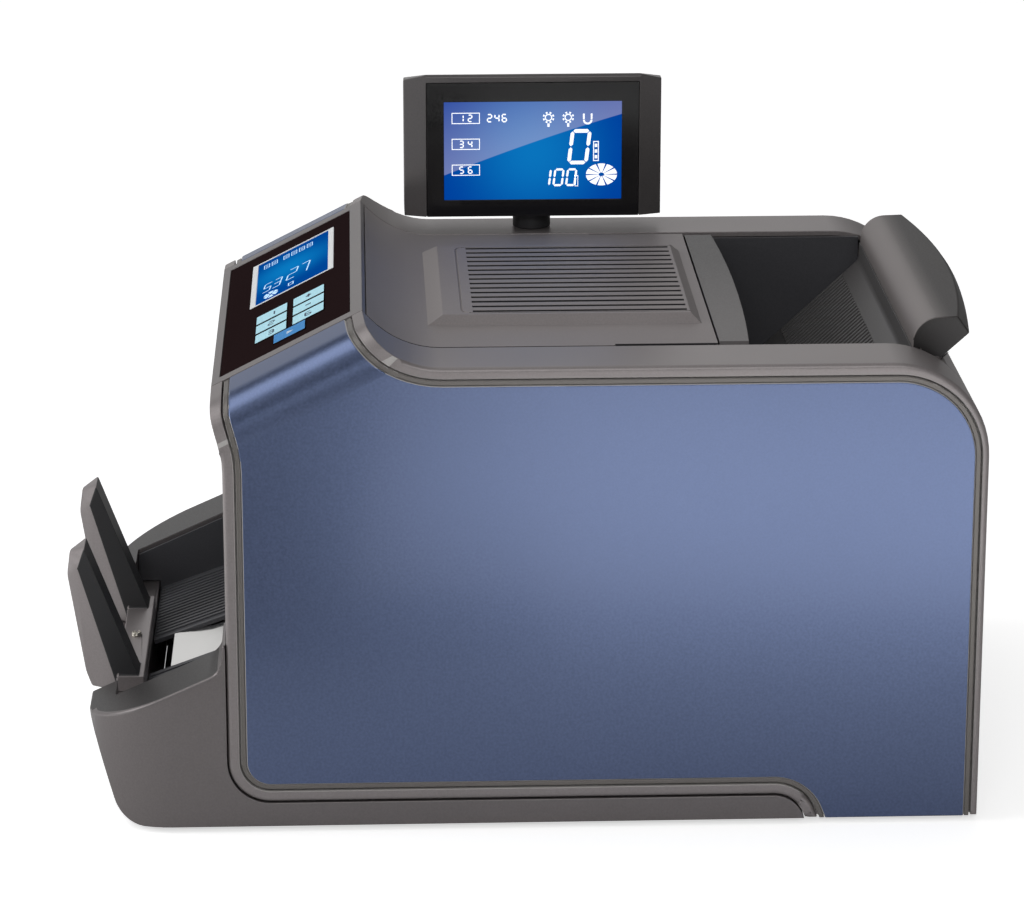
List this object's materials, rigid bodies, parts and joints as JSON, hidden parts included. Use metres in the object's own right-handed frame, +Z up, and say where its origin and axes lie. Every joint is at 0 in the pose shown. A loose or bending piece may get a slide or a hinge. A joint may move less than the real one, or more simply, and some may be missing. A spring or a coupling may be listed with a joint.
{
  "type": "banknote counter",
  "caption": "Desktop banknote counter: rear hopper feeds notes under a louvred lid to a front stacking tray; sloped key console and a swivelling customer display on a side post.",
  "frame": {"origin": "centre of the bounding box at floor level, under the rubber feet", "axes": "+X is the operator's right, -Y is the front with the stacking tray, +Z is up"},
  "size_m": [0.26, 0.3906, 0.2785],
  "materials": {
    "gunmetal": "satin metallic paint",
    "trim_grey": "satin metallic paint",
    "blue_panel": "glossy metallic paint",
    "black_plastic": "fine texture",
    "window": "polished",
    "white_frame": "satin",
    "lcd": "polished",
    "light_key": "satin",
    "start_key": "satin",
    "polished_steel": "polished",
    "sheet_steel": "satin",
    "bright_steel": "ground",
    "rubber": "matte",
    "wheel_blue": "satin",
    "motor": "satin",
    "board": "satin",
    "transformer": "satin"
  },
  "bodies": {
    "chassis": {"base_tray": "gunmetal", "note_stop": "gunmetal", "side_shell_right": "gunmetal", "side_shell_left": "gunmetal", "front_fascia": "gunmetal", "console_housing": "gunmetal", "top_cover": "gunmetal", "hopper_front_plate": "gunmetal", "hopper_guide": "gunmetal", "rear_cover": "gunmetal", "side_trim_right": "trim_grey", "side_trim_left": "trim_grey", "side_panel_right": "blue_panel", "side_panel_left": "blue_panel", "stacker_floor": "black_plastic", "hopper_well": "black_plastic", "hopper_ramp": "black_plastic", "console_overlay": "black_plastic", "power_inlet": "black_plastic", "switch_bezel": "black_plastic", "display_socket": "black_plastic", "sensor_bridge": "black_plastic", "console_lcd_frame": "white_frame", "console_lcd": "lcd", "chute_plate": "polished_steel", "note_stop_screw": "polished_steel", "bottom_plate": "sheet_steel", "mech_plate_right": "sheet_steel", "mech_plate_left": "sheet_steel", "case_screws": "sheet_steel", "tie_rods": "bright_steel", "rubber_feet": "rubber", "drive_belts": "rubber", "drive_motor": "motor", "console_board": "board", "main_board": "board", "power_supply": "transformer"},
    "display": {"display_post": "black_plastic", "display_housing": "gunmetal", "display_window": "window", "display_lcd": "lcd"},
    "rocker": {"power_rocker": "black_plastic"},
    "feed": {"feed_shaft": "bright_steel", "feed_rollers": "rubber"},
    "pickup": {"pickup_shaft": "bright_steel", "pickup_rollers": "rubber"},
    "transport": {"transport_shaft": "bright_steel", "transport_rollers": "rubber"},
    "pinch": {"pinch_rollers": "rubber"},
    "stacker": {"stacker_shaft": "bright_steel", "stacker_wheels": "wheel_blue"},
    "motor": {"motor_pulley": "bright_steel"},
    "key_1": {"key_1": "light_key"},
    "key_2": {"key_2": "light_key"},
    "key_3": {"key_3": "light_key"},
    "key_4": {"key_4": "light_key"},
    "key_5": {"key_5": "light_key"},
    "key_6": {"key_6": "light_key"},
    "key_start": {"key_start": "start_key"}
  },
  "joints": [
    {"name": "key_1_press", "type": "slide", "parent": "chassis", "child": "key_1", "axis": [0, 0.454, -0.891], "range_m": [0, 0.0006], "stiffness_N_per_m": 1000, "springref_m": -0.0002},
    {"name": "key_2_press", "type": "slide", "parent": "chassis", "child": "key_2", "axis": [0, 0.454, -0.891], "range_m": [0, 0.0006], "stiffness_N_per_m": 1000, "springref_m": -0.0002},
    {"name": "key_3_press", "type": "slide", "parent": "chassis", "child": "key_3", "axis": [0, 0.454, -0.891], "range_m": [0, 0.0006], "stiffness_N_per_m": 1000, "springref_m": -0.0002},
    {"name": "key_4_press", "type": "slide", "parent": "chassis", "child": "key_4", "axis": [0, 0.454, -0.891], "range_m": [0, 0.0006], "stiffness_N_per_m": 1000, "springref_m": -0.0002},
    {"name": "key_5_press", "type": "slide", "parent": "chassis", "child": "key_5", "axis": [0, 0.454, -0.891], "range_m": [0, 0.0006], "stiffness_N_per_m": 1000, "springref_m": -0.0002},
    {"name": "key_6_press", "type": "slide", "parent": "chassis", "child": "key_6", "axis": [0, 0.454, -0.891], "range_m": [0, 0.0006], "stiffness_N_per_m": 1000, "springref_m": -0.0002},
    {"name": "key_start_press", "type": "slide", "parent": "chassis", "child": "key_start", "axis": [0, 0.454, -0.891], "range_m": [0, 0.0006], "stiffness_N_per_m": 1000, "springref_m": -0.0002},
    {"name": "display_swivel", "type": "hinge", "parent": "chassis", "child": "display", "pos_m": [-0.114, 0.0145, 0.1955], "axis": [0, 0, 1], "range_deg": [-170, 170]},
    {"name": "rocker_tilt", "type": "hinge", "parent": "chassis", "child": "rocker", "pos_m": [-0.019, 0.1895, 0.036], "axis": [1, 0, 0], "range_deg": [-16, 0]},
    {"name": "feed_spin", "type": "hinge", "parent": "chassis", "child": "feed", "pos_m": [0, 0.078, 0.106], "axis": [1, 0, 0], "continuous": true},
    {"name": "pickup_spin", "type": "hinge", "parent": "chassis", "child": "pickup", "pos_m": [0, 0.121, 0.1305], "axis": [1, 0, 0], "continuous": true},
    {"name": "transport_spin", "type": "hinge", "parent": "chassis", "child": "transport", "pos_m": [0, -0.01, 0.106], "axis": [1, 0, 0], "continuous": true},
    {"name": "pinch_spin", "type": "hinge", "parent": "chassis", "child": "pinch", "pos_m": [0, -0.01, 0.1354], "axis": [1, 0, 0], "continuous": true},
    {"name": "stacker_spin", "type": "hinge", "parent": "chassis", "child": "stacker", "pos_m": [0, -0.092, 0.084], "axis": [1, 0, 0], "continuous": true},
    {"name": "motor_spin", "type": "hinge", "parent": "chassis", "child": "motor", "pos_m": [0, 0.034, 0.048], "axis": [1, 0, 0], "continuous": true}
  ],
  "couplings": [
    {"joint": "pickup_spin", "follows": "feed_spin", "ratio": 1},
    {"joint": "transport_spin", "follows": "feed_spin", "ratio": 1},
    {"joint": "pinch_spin", "follows": "feed_spin", "ratio": -2.2222},
    {"joint": "stacker_spin", "follows": "feed_spin", "ratio": 1},
    {"joint": "motor_spin", "follows": "feed_spin", "ratio": 1.5556}
  ]
}
